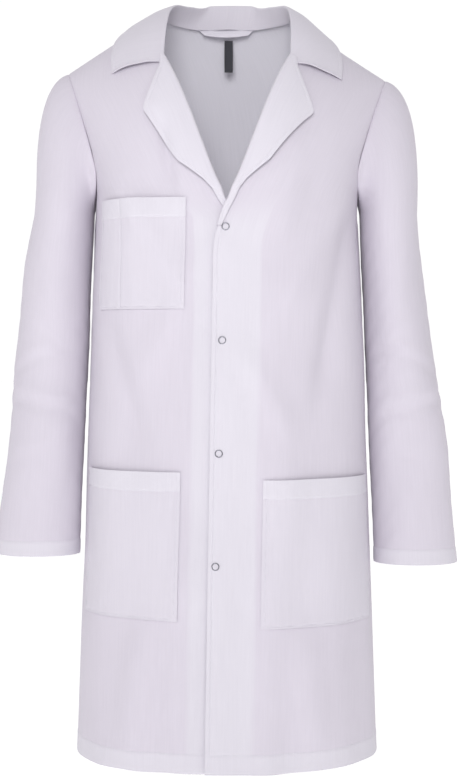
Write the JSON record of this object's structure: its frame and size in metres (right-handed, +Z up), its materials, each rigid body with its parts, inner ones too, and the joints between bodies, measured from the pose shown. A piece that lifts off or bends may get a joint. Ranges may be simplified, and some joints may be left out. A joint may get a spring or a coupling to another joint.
{
  "type": "lab coat",
  "caption": "Knee-length white lab coat with notched lapel collar, ring snap front closure, long sleeves, chest pocket and lower patch pockets, in its worn hanging shape.",
  "frame": {"origin": "on the plane of the hem, at the middle of the coat's bounding box seen from above", "axes": "+Z up along the body, -Y out of the closing front, +X towards the wearer's left"},
  "size_m": [0.6236, 0.298, 1.0594],
  "materials": {
    "coat_cloth": "white cotton and polyester twill with a faint cool lilac cast, matt",
    "label_cloth": "plain dark grey woven tape, no lettering",
    "snap_metal": "nickel plated brass ring snaps, satin to bright"
  },
  "bodies": {
    "root": {"back_left": "coat_cloth", "back_right": "coat_cloth", "left_front_side": "coat_cloth", "right_front_side": "coat_cloth", "upper_collar": "coat_cloth", "under_collar": "coat_cloth", "left_sleeve_head": "coat_cloth", "right_sleeve_head": "coat_cloth"},
    "left_front": {"left_front_panel": "coat_cloth", "left_lapel": "coat_cloth", "left_facing": "coat_cloth", "left_pocket": "coat_cloth", "snap_1_front_ring": "snap_metal", "snap_1_socket": "snap_metal", "snap_2_front_ring": "snap_metal", "snap_2_socket": "snap_metal", "snap_3_front_ring": "snap_metal", "snap_3_socket": "snap_metal", "snap_4_front_ring": "snap_metal", "snap_4_socket": "snap_metal"},
    "right_front": {"right_front_panel": "coat_cloth", "right_lapel": "coat_cloth", "right_facing": "coat_cloth", "right_pocket": "coat_cloth", "chest_pocket": "coat_cloth", "snap_1_stud": "snap_metal", "snap_1_back_ring": "snap_metal", "snap_2_stud": "snap_metal", "snap_2_back_ring": "snap_metal", "snap_3_stud": "snap_metal", "snap_3_back_ring": "snap_metal", "snap_4_stud": "snap_metal", "snap_4_back_ring": "snap_metal"},
    "left_sleeve": {"left_upper_sleeve": "coat_cloth"},
    "right_sleeve": {"right_upper_sleeve": "coat_cloth"},
    "left_forearm": {"left_forearm_sleeve": "coat_cloth"},
    "right_forearm": {"right_forearm_sleeve": "coat_cloth"},
    "hanger_loop": {"hanger_loop": "coat_cloth"},
    "neck_label": {"neck_label": "label_cloth"}
  },
  "joints": [
    {"name": "left_front_open", "type": "hinge", "parent": "root", "child": "left_front", "pos_m": [0.203, -0.04, 0], "axis": [-0.1174, -0.0519, 0.9917], "range_deg": [0, 40]},
    {"name": "right_front_open", "type": "hinge", "parent": "root", "child": "right_front", "pos_m": [-0.203, -0.04, 0], "axis": [-0.1174, 0.0519, -0.9917], "range_deg": [0, 24]},
    {"name": "left_sleeve_lift", "type": "hinge", "parent": "root", "child": "left_sleeve", "pos_m": [0.226, 0, 0.806], "axis": [0, -1, 0], "range_deg": [0, 50]},
    {"name": "right_sleeve_lift", "type": "hinge", "parent": "root", "child": "right_sleeve", "pos_m": [-0.226, 0, 0.806], "axis": [0, 1, 0], "range_deg": [0, 50]},
    {"name": "left_elbow_bend", "type": "hinge", "parent": "left_sleeve", "child": "left_forearm", "pos_m": [0.2414, -0.0065, 0.52], "axis": [-1, 0, 0], "range_deg": [0, 70]},
    {"name": "right_elbow_bend", "type": "hinge", "parent": "right_sleeve", "child": "right_forearm", "pos_m": [-0.2414, -0.0065, 0.52], "axis": [-1, 0, 0], "range_deg": [0, 70]},
    {"name": "hanger_loop_flip", "type": "hinge", "parent": "root", "child": "hanger_loop", "pos_m": [0, 0.057, 1.018], "axis": [-1, 0, 0], "range_deg": [0, 120]},
    {"name": "neck_label_flip", "type": "hinge", "parent": "root", "child": "neck_label", "pos_m": [0, 0.07, 1.003], "axis": [-1, 0, 0], "range_deg": [0, 70]}
  ],
  "couplings": [
    {"joint": "right_front_open", "follows": "left_front_open", "ratio": 0.6}
  ]
}
